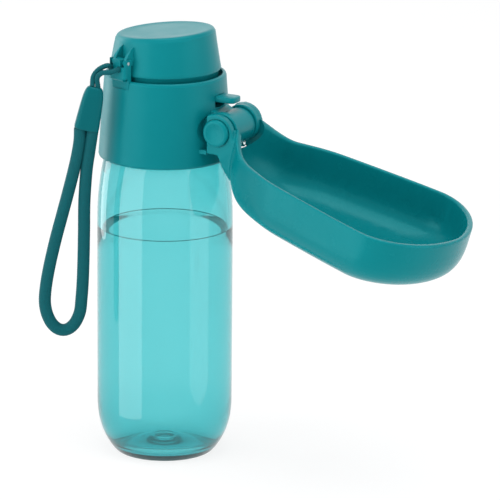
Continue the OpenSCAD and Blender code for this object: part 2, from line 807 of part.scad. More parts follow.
// Thin cord: out of the clip, through the lug's tunnel and back
clip_axis = unit(clip_lean);
clip_side = unit(cross(clip_axis, [0.47, -0.88, 0]));
clip_front = cross(clip_side, clip_axis);
cord_pair = cord_d / 2 + 0.3;
function tunnel_at(a) = lug_point(
  lug_out - tunnel_bend * sin(a),
  tunnel_y - tunnel_bend * cos(a),
  tunnel_z
);
cord_a = clip_top_at + clip_side * cord_pair;
cord_b = clip_top_at - clip_side * cord_pair;
cord_path = concat(
  [cord_a], [for (i = [len(cord_out) - 1:-1:0]) cord_out[i]],
  [for (i = [0:6]) tunnel_at(30 * i)],
  cord_back, [cord_b]
);
module lanyard_cord() {
  color("teal") tube(cord_path, cord_d / 2, 8, [0.3, 0.2, 1], -clip_axis, clip_axis);
}

// Cord clip: a tapered sleeve that joins the thin cord to the wrist cord
module cord_clip() {
  clip_sides = 32;
  top_share = 0.62;
  function clip_ring(z, k) = [
    for (i = [0:clip_sides - 1])
      let(
        a = -360 * i / clip_sides,
        x = pow(abs(cos(a)), 0.75) * sign(cos(a)) * clip_w / 2 * k,
        y = pow(abs(sin(a)), 0.75) * sign(sin(a)) * clip_t / 2 * k
      )
      clip_top_at + clip_axis * z + clip_side * x + clip_front * y
  ];
  color("lightseagreen")
    loft([
      clip_ring(0, top_share * 0.9), clip_ring(0.8, top_share * 1.12), clip_ring(3, 0.8),
      clip_ring(8, 0.92), clip_ring(clip_l - 0.8, 1), clip_ring(clip_l, 0.94)
    ], clip_sides);
}

// Wrist cord: one loop out of the clip's lower end and back into it
clip_foot = clip_top_at + clip_axis * clip_l;
strap_a = clip_foot + clip_side * clip_w / 4;
strap_b = clip_foot - clip_side * clip_w / 4;
module wrist_loop() {
  color("teal")
    tube(concat([strap_a], strap_left, [strap_foot], strap_right, [strap_b]), strap_d / 2, 12,
      [0.47, -0.88, 0], clip_axis, -clip_axis);
}

bottle();
neck_seal();
collar();
top_deck();
deck_seal();
drinking_spout();
vent_valve();
hinge_barrel();
outlet_tube();
valve_guide();
stem_ring();
valve_stem();
valve_seal();
valve_spring();
release_tab();
lanyard_lug();
cap_hinge_pin();
flip_cap();
cap_plug();
cap_seal();
trough();
washer_near();
washer_far();
trough_pin();
pin_cap_near();
pin_cap_far();
lanyard_cord();
cord_clip();
wrist_loop();
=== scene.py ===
# Travel water bottle for a dog, dressed for a studio picture
# Sizes are in millimetres until meshObject and solidObject scale them; the stage is in metres
import bpy
import bmesh
import math
from math import sin, cos, tan, pi
from mathutils import Vector, Matrix


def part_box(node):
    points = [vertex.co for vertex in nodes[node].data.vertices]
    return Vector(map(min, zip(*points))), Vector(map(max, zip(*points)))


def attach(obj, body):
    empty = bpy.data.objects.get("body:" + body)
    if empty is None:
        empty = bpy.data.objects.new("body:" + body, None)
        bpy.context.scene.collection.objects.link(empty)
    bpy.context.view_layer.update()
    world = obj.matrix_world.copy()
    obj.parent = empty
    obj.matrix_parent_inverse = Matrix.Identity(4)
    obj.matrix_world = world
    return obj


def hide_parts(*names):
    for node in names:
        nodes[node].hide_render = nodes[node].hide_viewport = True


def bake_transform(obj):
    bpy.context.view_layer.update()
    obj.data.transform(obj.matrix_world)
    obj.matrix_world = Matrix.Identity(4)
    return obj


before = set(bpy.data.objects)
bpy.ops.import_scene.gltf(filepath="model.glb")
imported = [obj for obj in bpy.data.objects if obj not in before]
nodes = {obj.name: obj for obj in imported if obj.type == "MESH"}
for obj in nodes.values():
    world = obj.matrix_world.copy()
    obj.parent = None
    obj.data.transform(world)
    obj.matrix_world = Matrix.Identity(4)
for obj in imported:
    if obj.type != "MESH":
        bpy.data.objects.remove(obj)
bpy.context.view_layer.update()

mm = 0.001


# Small tools
def smooth01(x):
    k = min(1.0, max(0.0, x))
    return k * k * (3 - 2 * k)


def lerp(a, b, k):
    return a + (b - a) * k


def meshObject(name, points, faces, body, slotName, material):
    mesh = bpy.data.meshes.new(name)
    mesh.from_pydata([Vector(p) * mm for p in points], [], faces)
    mesh.validate()
    mesh.update()
    for poly in mesh.polygons:
        poly.use_smooth = True
    obj = bpy.data.objects.new(name, mesh)
    bpy.context.scene.collection.objects.link(obj)
    mesh.materials.append(material)
    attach(obj, body)
    return obj


# Several (points, faces) lists as one
def joinParts(parts):
    points, faces = [], []
    for somePoints, someFaces in parts:
        base = len(points)
        points += list(somePoints)
        faces += [tuple(i + base for i in f) for f in someFaces]
    return points, faces


# Quads between rings of the same count. closedLoop joins the last ring to the first
def loftRings(rings, closeEnds=True, closedLoop=False):
    count = len(rings[0])
    points = [p for ring in rings for p in ring]
    faces = []
    last = len(rings) if closedLoop else len(rings) - 1
    for j in range(last):
        a = j * count
        b = ((j + 1) % len(rings)) * count
        for i in range(count):
            k = (i + 1) % count
            faces.append((a + i, a + k, b + k, b + i))
    if closeEnds and not closedLoop:
        faces.append(tuple(reversed(range(count))))
        faces.append(tuple(range((len(rings) - 1) * count, len(rings) * count)))
    return points, faces


# A closed (radius, height) outline turned about Z. A radius of 0 becomes one point on the axis
def revolve(profile, sides=128):
    points, faces, rows = [], [], []
    for r, z in profile:
        if r < 1e-6:
            rows.append([len(points)] * sides)
            points.append((0, 0, z))
        else:
            rows.append(list(range(len(points), len(points) + sides)))
            points += [(r * cos(2 * pi * i / sides), r * sin(2 * pi * i / sides), z) for i in range(sides)]
    for j in range(len(rows)):
        a, b = rows[j], rows[(j + 1) % len(rows)]
        for i in range(sides):
            k = (i + 1) % sides
            face = []
            for v in (a[i], a[k], b[k], b[i]):
                if v not in face:
                    face.append(v)
            if len(face) > 2:
                faces.append(tuple(face))
    return points, faces


# outline is [(x, y, radius)]; each corner with a radius is rounded by an arc-like curve
def roundCorners(outline, steps=5):
    out = []
    n = len(outline)
    for i in range(n):
        x, y, r = outline[i]
        p = Vector((x, y))
        a = Vector(outline[i - 1][:2]) - p
        b = Vector(outline[(i + 1) % n][:2]) - p
        if r <= 0:
            out.append((x, y))
            continue
        reach = min(r, 0.49 * a.length, 0.49 * b.length)
        start, end = p + a.normalized() * reach, p + b.normalized() * reach
        for k in range(steps + 1):
            t = k / steps
            q = start * (1 - t) ** 2 + p * 2 * t * (1 - t) + end * t * t
            out.append((q.x, q.y))
    return out


# A smooth line through the points
def catmull(points, perSpan):
    pts = [Vector(p) for p in points]
    pts = [pts[0] * 2 - pts[1]] + pts + [pts[-1] * 2 - pts[-2]]
    out = []
    for i in range(1, len(pts) - 2):
        a, b, c, d = pts[i - 1:i + 3]
        for k in range(perSpan):
            t = k / perSpan
            out.append(0.5 * (2 * b + (c - a) * t + (2 * a - 5 * b + 4 * c - d) * t * t
                              + (3 * b - a - 3 * c + d) * t ** 3))
    out.append(pts[-2])
    return out


# The same line with points a fixed step apart, and its length
def evenLine(points, step):
    total = sum((b - a).length for a, b in zip(points, points[1:]))
    count = max(2, round(total / step))
    step = total / count
    out, walked, i = [points[0].copy()], 0.0, 0
    for k in range(1, count):
        target = k * step
        while walked + (points[i + 1] - points[i]).length < target:
            walked += (points[i + 1] - points[i]).length
            i += 1
        span = points[i + 1] - points[i]
        out.append(points[i] + span * ((target - walked) / span.length))
    out.append(points[-1].copy())
    return out, total


# Height of a plain braid at u and v, which count the strands of each direction
def braidHeight(u, v):
    fu, fv = u % 1.0, v % 1.0
    over = (math.floor(u) + math.floor(v)) % 2 == 0
    a = sin(pi * fu) ** 0.7
    b = sin(pi * fv) ** 0.7
    return a * (0.55 + 0.45 * b) if over else b * (0.55 + 0.45 * a)


# A braided cord along an even line: the two directions of strands cross over and under
def braidTube(line, radius, sides, strands, pitch, depth):
    rings = []
    up = None
    walked = 0.0
    for i, p in enumerate(line):
        t = (line[min(i + 1, len(line) - 1)] - line[max(i - 1, 0)]).normalized()
        if up is None:
            up = t.cross(Vector((0.3, 0.2, 0.9))).normalized()
        up = (up - t * up.dot(t)).normalized()
        side = t.cross(up)
        if i:
            walked += (p - line[i - 1]).length
        ring = []
        for k in range(sides):
            a = 2 * pi * k / sides
            u = strands * k / sides + walked / pitch
            v = strands * k / sides - walked / pitch
            r = radius - depth + depth * braidHeight(u, v)
            ring.append(p + (up * cos(a) + side * sin(a)) * r)
        rings.append(ring)
    return loftRings(rings)


def solidObject(name, part):
    mesh = bpy.data.meshes.new(name)
    mesh.from_pydata([Vector(p) * mm for p in part[0]], [], part[1])
    obj = bpy.data.objects.new(name, mesh)
    bpy.context.scene.collection.objects.link(obj)
    return obj


def applyModifiers(obj):
    graph = bpy.context.evaluated_depsgraph_get()
    done = bpy.data.meshes.new_from_object(obj.evaluated_get(graph), depsgraph=graph)
    obj.modifiers.clear()
    obj.data = done


def fixNormals(obj):
    work = bmesh.new()
    work.from_mesh(obj.data)
    bmesh.ops.recalc_face_normals(work, faces=work.faces[:])
    work.to_mesh(obj.data)
    work.free()


# A cylinder along the hinge's direction (Y)
def cylinderPart(radius, halfW, x, z, sides=96, yMid=0.0):
    angles = [2 * pi * i / sides for i in range(sides)]
    rings = [[(x + radius * cos(a), yMid + y, z + radius * sin(a)) for a in angles] for y in (-halfW, halfW)]
    return loftRings(rings)


def booleanWith(obj, part, operation):
    tool = solidObject("tool", part)
    fixNormals(tool)
    fixNormals(obj)
    modifier = obj.modifiers.new("cut", "BOOLEAN")
    modifier.operation = operation
    modifier.solver = "MANIFOLD"
    modifier.object = tool
    applyModifiers(obj)
    bpy.data.objects.remove(tool)


# Material, smooth shading with sharp edges past an angle, and what the piece rides on and stands for
def dress(obj, body, material, node, angle=35):
    obj.data.materials.clear()
    obj.data.materials.append(material)
    for poly in obj.data.polygons:
        poly.use_smooth = True
    obj.data.set_sharp_from_angle(angle=math.radians(angle))
    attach(obj, body)
    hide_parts(node)


# Materials
def newMaterial(name):
    material = bpy.data.materials.new(name)
    material.use_nodes = True
    tree = material.node_tree
    tree.nodes.clear()
    out = tree.nodes.new("ShaderNodeOutputMaterial")
    shader = tree.nodes.new("ShaderNodeBsdfPrincipled")
    tree.links.new(shader.outputs["BSDF"], out.inputs["Surface"])
    return material, tree, shader, out


def addNode(tree, kind, **inputs):
    node = tree.nodes.new(kind)
    for key, value in inputs.items():
        node.inputs[key.replace("_", " ")].default_value = value
    return node


def noiseColour(tree, shader, dark, light, scale, detail=3.0, stretch=(1, 1, 1)):
    coords = tree.nodes.new("ShaderNodeTexCoord")
    mapping = tree.nodes.new("ShaderNodeMapping")
    mapping.inputs["Scale"].default_value = stretch
    noise = addNode(tree, "ShaderNodeTexNoise", Scale=scale, Detail=detail, Roughness=0.55)
    ramp = tree.nodes.new("ShaderNodeValToRGB")
    ramp.color_ramp.elements[0].position = 0.3
    ramp.color_ramp.elements[0].color = (*dark, 1)
    ramp.color_ramp.elements[1].position = 0.7
    ramp.color_ramp.elements[1].color = (*light, 1)
    tree.links.new(coords.outputs["Object"], mapping.inputs["Vector"])
    tree.links.new(mapping.outputs["Vector"], noise.inputs["Vector"])
    tree.links.new(noise.outputs["Fac"], ramp.inputs["Fac"])
    tree.links.new(ramp.outputs["Color"], shader.inputs["Base Color"])
    return mapping


def noiseRough(tree, shader, mapping, scale, low, high):
    noise = addNode(tree, "ShaderNodeTexNoise", Scale=scale, Detail=4.0)
    spread = tree.nodes.new("ShaderNodeMapRange")
    spread.inputs["From Min"].default_value = 0.3
    spread.inputs["From Max"].default_value = 0.7
    spread.inputs["To Min"].default_value = low
    spread.inputs["To Max"].default_value = high
    tree.links.new(mapping.outputs["Vector"], noise.inputs["Vector"])
    tree.links.new(noise.outputs["Fac"], spread.inputs["Value"])
    tree.links.new(spread.outputs["Result"], shader.inputs["Roughness"])


def noiseBump(tree, shader, mapping, scale, strength, distance):
    noise = addNode(tree, "ShaderNodeTexNoise", Scale=scale, Detail=2.0)
    bump = addNode(tree, "ShaderNodeBump", Strength=strength, Distance=distance)
    tree.links.new(mapping.outputs["Vector"], noise.inputs["Vector"])
    tree.links.new(noise.outputs["Fac"], bump.inputs["Height"])
    tree.links.new(bump.outputs["Normal"], shader.inputs["Normal"])


# The teal plastics mirror in their own colour
tealShine = (0.22, 0.9, 0.92)


# Moulded plastic: slow colour drift, fine satin grain and a roughness that wanders a little
def plastic(name, dark, light, rough, grain=0.12, grainScale=2600, tint=tealShine):
    material, tree, shader, _ = newMaterial(name)
    mapping = noiseColour(tree, shader, dark, light, 26)
    noiseRough(tree, shader, mapping, 90, rough - 0.035, rough + 0.035)
    noiseBump(tree, shader, mapping, grainScale, grain, 0.00003)
    shader.inputs["IOR"].default_value = 1.5
    shader.inputs["Specular Tint"].default_value = (*tint, 1)
    shader.inputs["Specular IOR Level"].default_value = 0.3
    return material


# See-through plastic: the colour deepens with its thickness. When a glow is given, the plastic emits painted
# light, though it is no lamp
def clearPlastic(name, tint, thick, rough=0.015, ior=1.5, density=0.0, paintedGlow=None):
    material, tree, shader, out = newMaterial(name)
    mapping = noiseColour(tree, shader, tuple(c * 0.985 for c in tint), tint, 18)
    noiseRough(tree, shader, mapping, 40, rough, rough + 0.012)
    shader.inputs["Transmission Weight"].default_value = 1.0
    shader.inputs["IOR"].default_value = ior
    if paintedGlow:
        shader.inputs["Emission Color"].default_value = (*paintedGlow[0], 1)
        shader.inputs["Emission Strength"].default_value = paintedGlow[1]
    if density:
        volume = tree.nodes.new("ShaderNodeVolumeAbsorption")
        volume.inputs["Color"].default_value = (*thick, 1)
        volume.inputs["Density"].default_value = density
        tree.links.new(volume.outputs["Volume"], out.inputs["Volume"])
    return material


def metal(name, dark, light, rough):
    material, tree, shader, _ = newMaterial(name)
    mapping = noiseColour(tree, shader, dark, light, 60, stretch=(1, 1, 6))
    noiseRough(tree, shader, mapping, 400, rough, rough + 0.1)
    shader.inputs["Metallic"].default_value = 1.0
    return material


# Polyester yarn: dull, with sheen and a fine fibre bump on top of the modelled braid
def fabric(name, dark, light, scale):
    material, tree, shader, _ = newMaterial(name)
    mapping = noiseColour(tree, shader, dark, light, scale, detail=5.0)
    noiseRough(tree, shader, mapping, scale, 0.55, 0.75)
    noiseBump(tree, shader, mapping, scale * 2.2, 0.5, 0.00008)
    shader.inputs["Sheen Weight"].default_value = 0.04
    shader.inputs["Specular IOR Level"].default_value = 0.15
    shader.inputs["Sheen Roughness"].default_value = 0.4
    return material


collarMat = plastic("collar_teal", (0.001, 0.205, 0.232), (0.002, 0.222, 0.250), 0.36)
capMat = plastic("cap_teal", (0.002, 0.212, 0.240), (0.003, 0.230, 0.258), 0.37)
troughMat = plastic("trough_teal", (0.001, 0.215, 0.240), (0.002, 0.235, 0.262), 0.26, grain=0.05)
trimMat = plastic("trim_teal", (0.001, 0.220, 0.246), (0.002, 0.238, 0.266), 0.30, grain=0.06)
deckMat = plastic("deck_teal", (0.001, 0.150, 0.170), (0.002, 0.170, 0.190), 0.42)
whiteMat = plastic("white_plastic", (0.66, 0.72, 0.72), (0.72, 0.78, 0.78), 0.3, tint=(1, 1, 1))
rubberMat = plastic("seal_rubber", (0.50, 0.56, 0.56), (0.56, 0.62, 0.62), 0.55, grain=0.3, grainScale=1500,
                    tint=(1, 1, 1))
steelMat = metal("steel", (0.52, 0.53, 0.54), (0.60, 0.61, 0.62), 0.22)
cordMat = fabric("cord_teal", (0.001, 0.085, 0.1), (0.002, 0.135, 0.155), 2200)
clipMat = plastic("clip_teal", (0.001, 0.115, 0.133), (0.002, 0.13, 0.148), 0.34)
# The bottle's faint teal glow is painted light that brightens its walls and thick heel
bottleMat = clearPlastic("clear_teal", (0.96, 0.99, 0.99), (0.0, 0.724, 0.748), density=400.0,
                         paintedGlow=((0.0, 0.8, 0.85), 0.03))
waterMat = clearPlastic("water", (0.95, 0.99, 0.99), (0.5, 0.9, 0.92), rough=0.0, ior=1.13, density=3.0)
# painted shade: the dark teal of the ring drawn at the water's edge
shadeLineMat = plastic("water_line_painted_shade", (0.001, 0.16, 0.18), (0.002, 0.19, 0.21), 0.2)
tubeMat = clearPlastic("clear_plastic", (0.86, 0.95, 0.955), (0.6, 0.9, 0.9), rough=0.08, density=30.0)

finishes = {
    "collar": collarMat, "lanyard_lug": collarMat, "top_deck": deckMat, "hinge_barrel": trimMat,
    "release_tab": trimMat, "washer_near": trimMat, "washer_far": trimMat, "pin_cap_near": trimMat,
    "pin_cap_far": trimMat, "cord_clip": clipMat, "drinking_spout": whiteMat, "valve_guide": whiteMat,
    "cap_plug": whiteMat, "neck_seal": rubberMat, "deck_seal": rubberMat, "vent_valve": rubberMat,
    "stem_ring": rubberMat, "valve_seal": rubberMat, "cap_seal": rubberMat, "valve_stem": steelMat,
    "valve_spring": steelMat, "cap_hinge_pin": steelMat, "trough_pin": steelMat, "outlet_tube": tubeMat,
    "bottle": bottleMat, "flip_cap": capMat, "trough": troughMat, "lanyard_cord": cordMat,
    "wrist_loop": cordMat,
}
for nodeName, material in finishes.items():
    node = nodes[nodeName]
    node.data.materials.clear()
    node.data.materials.append(material)
print("materials ready")


# Camera
cameraSet = {"azimuth": 28.0, "elevation": 15.5, "roll": 0.45, "lens": 311.7,
             "foot": (164.5, 446.0)}    # foot: where the middle of the base stands in the picture
cameraData = bpy.data.cameras.new("camera")
cameraData.lens = cameraSet["lens"]
cameraData.sensor_width = 36
cameraData.clip_start = 0.05
cameraData.clip_end = 60
camera = bpy.data.objects.new("camera", cameraData)
bpy.context.scene.collection.objects.link(camera)
a, e = math.radians(cameraSet["azimuth"]), math.radians(cameraSet["elevation"])
back = Vector((sin(a) * cos(e), -cos(a) * cos(e), sin(e)))
right = Vector((cos(a), sin(a), 0))
up = back.cross(right)
turn = math.radians(cameraSet["roll"])
right, up = right * cos(turn) + up * sin(turn), up * cos(turn) - right * sin(turn)
reach = 2.2     # from the middle of the base to the camera
perPixel = reach * cameraData.sensor_width / cameraData.lens / 500
footX, footY = cameraSet["foot"]
place = back * reach + right * (250 - footX) * perPixel + up * (footY - 250) * perPixel
camera.matrix_world = Matrix((
    (right.x, up.x, back.x, place.x),
    (right.y, up.y, back.y, place.y),
    (right.z, up.z, back.z, place.z),
    (0, 0, 0, 1)))
bpy.context.scene.camera = camera


# Cords: the routes are those of the solids
cordSizes = {
    "cordD": 2.6, "strapD": 6.2, "clipL": 22.0, "clipW": 12.4, "clipT": 7.4,
    "clipTop": (-18.5, -37.5, 193), "clipLean": (-4, -2, -21.6), "pairGap": 1.45,
    "cordStrands": 6, "cordPitch": 1.25, "strapStrands": 14, "strapPitch": 1.15,
    "lugAzimuth": 252, "tunnelOut": 32.8, "tunnelBend": 2.8, "tunnelSide": -1.0, "tunnelZ": 201.7,
}
lugTurn = math.radians(cordSizes["lugAzimuth"])


# A point of the lanyard lug: how far out, how far to its side, and its height
def lugPoint(out, side, z):
    return Vector((out * cos(lugTurn) - side * sin(lugTurn), out * sin(lugTurn) + side * cos(lugTurn), z))


clipTop = Vector(cordSizes["clipTop"])
clipAxis = Vector(cordSizes["clipLean"]).normalized()
clipSide = clipAxis.cross(Vector((0.47, -0.88, 0))).normalized()
clipFront = clipSide.cross(clipAxis)
cordPair = cordSizes["pairGap"]
cordOut = [(-14, -33.5, 203.4), (-17.5, -35.6, 201.5), (-19.8, -37, 198)]
cordBack = [(-11, -35.5, 200.8), (-15, -36.8, 200.2), (-17.4, -37.4, 197.5)]
tunnel = []
for i in range(7):
    a = math.radians(30 * i)
    tunnel.append(lugPoint(cordSizes["tunnelOut"] - cordSizes["tunnelBend"] * sin(a),
                           cordSizes["tunnelSide"] - cordSizes["tunnelBend"] * cos(a), cordSizes["tunnelZ"]))
cordRoute = [clipTop + clipSide * cordPair] + [Vector(p) for p in reversed(cordOut)] + tunnel \
    + [Vector(p) for p in cordBack] + [clipTop - clipSide * cordPair]
clipFoot = clipTop + clipAxis * cordSizes["clipL"]
strapRoute = [clipFoot + clipSide * cordSizes["clipW"] / 4] + [Vector(p) for p in (
    (-25.4, -41.2, 165), (-27, -42, 155), (-30, -43.6, 141), (-33, -45.2, 128), (-36, -46.8, 115),
    (-38.6, -48.2, 102), (-40.2, -49, 92), (-40.8, -49.4, 84), (-40.2, -49.1, 78.2), (-38.7, -48.3, 73.6),
    (-37, -47.4, 70.8), (-35, -46.3, 69), (-32.8, -45.1, 68.4), (-30.6, -43.9, 69), (-28.6, -42.8, 70.8),
    (-26.9, -41.9, 73.6), (-25.4, -41.1, 78.2), (-24.8, -40.8, 84), (-24.2, -40.5, 93), (-23.8, -40.3, 105),
    (-23.5, -40.2, 120), (-23.3, -40.1, 135), (-22.4, -39.6, 150), (-21.2, -38.9, 160))] \
    + [clipFoot - clipSide * cordSizes["clipW"] / 4]


# One ring of the clip: a rounded box across the clip's axis, its width along clipSide and its depth along
# clipFront
def clipRing(z, wide, deep, turn=38, power=0.62, sides=64):
    ring = []
    for i in range(sides):
        t = 2 * pi * i / sides
        x = abs(cos(t)) ** power * math.copysign(1, cos(t)) * wide / 2
        y = abs(sin(t)) ** power * math.copysign(1, sin(t)) * deep / 2
        ring.append(clipTop + clipAxis * z + clipSide * x + clipFront * y)
    return ring


clipL, clipW, clipT = cordSizes["clipL"], cordSizes["clipW"], cordSizes["clipT"]
clipShape = [(0.0, 0.42), (0.25, 0.52), (0.9, 0.62), (1.9, 0.70), (3.4, 0.77), (6, 0.84), (11, 0.91),
             (16, 0.96), (clipL - 1.6, 1.0), (clipL - 0.7, 0.99), (clipL - 0.2, 0.95), (clipL, 0.88)]
clipRings = [clipRing(z, clipW * k, clipT * k) for z, k in clipShape]
clip = meshObject("clip_sleeve", *loftRings(clipRings), "head", "trim_teal", clipMat)
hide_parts("cord_clip")

cordLine, cordLength = evenLine(catmull(cordRoute, 12), 0.16)
cord = meshObject("thin_cord", *braidTube(cordLine, cordSizes["cordD"] / 2, 36, cordSizes["cordStrands"],
                  cordSizes["cordPitch"], 0.16), "head", "cord_teal", cordMat)
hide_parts("lanyard_cord")
strapLine, strapLength = evenLine(catmull(strapRoute, 12), 0.3)
strap = meshObject("wrist_cord", *braidTube(strapLine, cordSizes["strapD"] / 2, 72, cordSizes["strapStrands"],
                   cordSizes["strapPitch"], 0.24), "head", "cord_teal", cordMat)
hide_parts("wrist_loop")
print("cords ready", round(cordLength, 1), round(strapLength, 1))


# Bottle: outer skin, inner skin and the water
bottle = {
    "r": 34.0, "wall": 2.4, "footR": 25.0, "footW": 2.5, "heelH": 28.0, "heelIn": 9.0, "puntH": 6.0,
    "shoulderTop": 152.0, "shoulderH": 32.0, "shoulderIn": 3.4, "neckR": 25.0, "neckTop": 170.0,
    "neckWall": 2.2, "waterTop": 116.0, "waterLap": 0.15, "shadeLineR": 0.2,
}
inR = bottle["r"] - bottle["wall"]
neckR, neckTop = bottle["neckR"], bottle["neckTop"]
neckIn = neckR - bottle["neckWall"]
facets = 160    # facets round the bottle


def heelOut(z):
    return bottle["r"] - bottle["heelIn"] * (1 - min(1, z / bottle["heelH"])) ** 2.6


# The shoulder draws in slowly and then faster. k runs from 0 at its foot to 1 at its top
def shoulder(r, k, drop=0):
    return (r - bottle["shoulderIn"] * k * k, bottle["shoulderTop"] - bottle["shoulderH"] * (1 - k) - drop)


outer = [(0, bottle["puntH"])]
outer += [(4.3, 5.75), (4.7, 5.5), (5.1, 5.6)]           # the moulding's small ring in the middle
for k in (0.35, 0.5, 0.64, 0.76, 0.86, 0.94, 1):
    outer.append(((bottle["footR"] - bottle["footW"]) * k, bottle["puntH"] * (1 - k ** 2.4)))
outer += [(23.1, -0.0), (24.4, 0.0)]
for z in (0.35, 0.9, 1.8, 3, 4.6, 6.6, 9, 12, 15, 18.5, 22, 25, 28):
    outer.append((heelOut(z) - 0.25 * max(0, 1 - z / 2), z))
outer += [(bottle["r"], z) for z in (50, 80, 105)]
outer += [shoulder(bottle["r"], k) for k in (0, 0.2, 0.4, 0.55, 0.7, 0.8, 0.9, 1)]
outer += [(29.9, 153.2), (28.6, 154.6), (27, 155.7), (25.6, 156.4)]
outer += [(neckR, 157.2), (neckR, 163), (neckR, neckTop - 0.4), (neckR - 0.3, neckTop)]
inner = [(neckIn + 0.3, neckTop), (neckIn, neckTop - 0.4), (neckIn, 163), (neckIn, 158)]
inner += [(23.2, 156.2), (24.6, 154.4), (26.4, 152.8), (27.6, 151)]
inner += [shoulder(inR, k, drop=1) for k in (0.9, 0.8, 0.7, 0.55, 0.4, 0.2, 0)]
inner += [(inR, z) for z in (105, 80, 50, 34)]
inner += [(31.5, 28), (31.1, 23), (30.3, 18), (29.2, 13.6), (27.8, 9.9)]    # the heel's inside
inner += [(26.3, 7.2), (24.8, 5.4), (23.2, 4.3), (21.2, 3.9)]
inner += [(18.5, 4.5), (15, 5.7), (10.5, 7.2), (6.5, 8.2)]                  # the floor over the punt
inner += [(5.2, 8.4), (4.7, 8.15), (4.2, 8.35), (2, 8.5), (0, 8.55)]
glass = meshObject("bottle_skin", *revolve(outer + inner, facets), "bottle", "clear_teal", bottleMat)
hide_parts("bottle")

# The water laps into the wall, so that no air film shows, and climbs a little at its edge
waterTop, lap = bottle["waterTop"], bottle["waterLap"]
waterIn = [(r + lap if r > 0.01 else 0, z - lap) for r, z in inner if z < waterTop - 1]
waterSide = [(inR + lap, waterTop + 0.9), (31.5, waterTop + 0.75), (31.1, waterTop + 0.35),
             (30.3, waterTop + 0.06), (28.5, waterTop), (14, waterTop), (0, waterTop)]
meshObject("water", *revolve(list(reversed(waterIn)) + waterSide, facets), "bottle", "clear_teal", waterMat)

# Its edge against the wall shows as a thin dark line: an opaque dark ring of painted shade, where the water's
# curved edge only bends the light
shadeLineR = bottle["shadeLineR"]
edge = []
for i in range(10):
    t = 2 * pi * i / 10
    edge.append((31.45 + shadeLineR * cos(t), waterTop + 0.75 + shadeLineR * sin(t)))
meshObject("water_line_painted_shade", *revolve(edge, facets), "bottle", "clear_teal", shadeLineMat)


# A stretch of screw thread as a swept ridge that tapers away at its ends
def threadRidge(name, inR, outR, low, turns, lead, half, body, slotName, material, inside, start=0.0):
    rings = []
    count = int(72 * turns)
    for i in range(count + 1):
        angle = start + 2 * pi * i / 72
        z = low + lead * i / 72
        fade = min(1, min(i, count - i) / 9)
        root, crest = (outR, lerp(outR, inR, fade)) if inside else (inR, lerp(inR, outR, fade))
        ring = []
        for r, dz in ((root, -half), (crest, -half * 0.35), (crest, half * 0.35), (root, half)):
            ring.append((r * cos(angle), r * sin(angle), z + dz))
        rings.append(ring)
    return meshObject(name, *loftRings(rings), body, slotName, material)


thread = {"lead": 6.0, "half": 0.95, "low": 160.4, "neckR": (24.95, 25.85), "neckTurns": 1.25,
          "collarR": (25.45, 26.45), "collarTurns": 0.9, "collarUp": 1.9}
threadRidge("neck_thread", *thread["neckR"], thread["low"], thread["neckTurns"], thread["lead"],
            thread["half"], "bottle", "clear_teal", bottleMat, False)
threadRidge("collar_thread", *thread["collarR"], thread["low"] + thread["collarUp"], thread["collarTurns"],
            thread["lead"], thread["half"], "head", "collar_teal", collarMat, True, start=pi)
print("bottle ready")


# Trough: s runs along the rim from the hinge to the tip, t across it and n up from it
trough = {
    "fromX": 37.4, "fromZ": 170.0, "tilt": 15.9, "rimDrop": 2.4, "start": 5.0, "length": 127.6, "width": 90.7,
    "waist": 73.4, "neckHalf": 16.9, "depth": 29.4, "wall": 2.4, "rise": 13.9, "riseS": 20.5,
    "endRound": 15.0,
    "tipL": 32.3, "flareL": 41.0, "tipPower": 1.9, "wallPower": 4.5,
    "pinX": 38.0, "pinZ": 172.0, "earOut": 16.6, "earT": 4.5, "earBack": 5.6, "earUp": 8.7, "earDown": 11.0,
    "voxel": 0.5, "thin": 0.45, "sweep": 11.8, "pinHole": 2.5, "seatR": 7.1, "seatHalf": 0.7, "seatOut": 0.1,
}
tipS = trough["start"] + trough["length"]
bellyS = tipS - trough["tipL"]
waistS = trough["start"] + trough["flareL"]
midS = trough["start"] + 0.52 * trough["length"]
tilt = math.radians(trough["tilt"])


def troughPoint(s, t, n):
    n -= trough["rimDrop"]
    return (trough["fromX"] + s * cos(tilt) + n * sin(tilt), t,
            trough["fromZ"] - s * sin(tilt) + n * cos(tilt))


# Half the width between the waist near the hinge and the belly near the tip
def flank(s):
    narrowing = ((bellyS - s) / (bellyS - waistS)) ** 1.2
    return (trough["width"] - (trough["width"] - trough["waist"]) * narrowing) / 2


def halfWidth(s):
    if s > bellyS:
        power = trough["tipPower"]
        return trough["width"] / 2 * max(0, 1 - ((s - bellyS) / (tipS - bellyS)) ** power) ** (1 / power)
    k = min(1, max(0, (s - trough["start"]) / trough["endRound"]))
    end = (1 - (1 - k) ** 2.2) ** (1 / 2.2)
    far = min(1, (s - trough["start"]) / trough["flareL"])
    draw = (flank(trough["start"]) - trough["neckHalf"]) * ((1 - smooth01(far)) + (1 - far) ** 2) / 2
    return end * (flank(s) - draw)


# The rim rises towards the hinge
def rimAt(s):
    return trough["rise"] * max(0, 1 - (s - trough["start"]) / trough["riseS"]) ** 2


# The rim's line seen from above, drawn in by inset
def outline(inset, steps=72):
    a0, b0 = trough["start"] + inset, tipS - inset
    near = []
    for i in range(steps):
        s = a0 + (b0 - a0) * (1 - cos(pi * i / steps)) / 2
        near.append((s, max(0, halfWidth(trough["start"] + (s - a0) * trough["length"] / (b0 - a0)) - inset)))
    return near + [(b0, 0)] + [(s, -w) for s, w in reversed(near[1:])]


def lipRing(inset, n):
    return [troughPoint(s, w, rimAt(s) + n) for s, w in outline(inset)]


# The rim's line shrunk to k about the bowl's middle, as far down as the wall is there
def bowlRing(line, k, depth):
    down = depth * (1 - k ** trough["wallPower"]) ** (1 / trough["wallPower"])
    return [troughPoint(midS + (s - midS) * k, w * k, rimAt(s) * k ** 8 - down) for s, w in line]


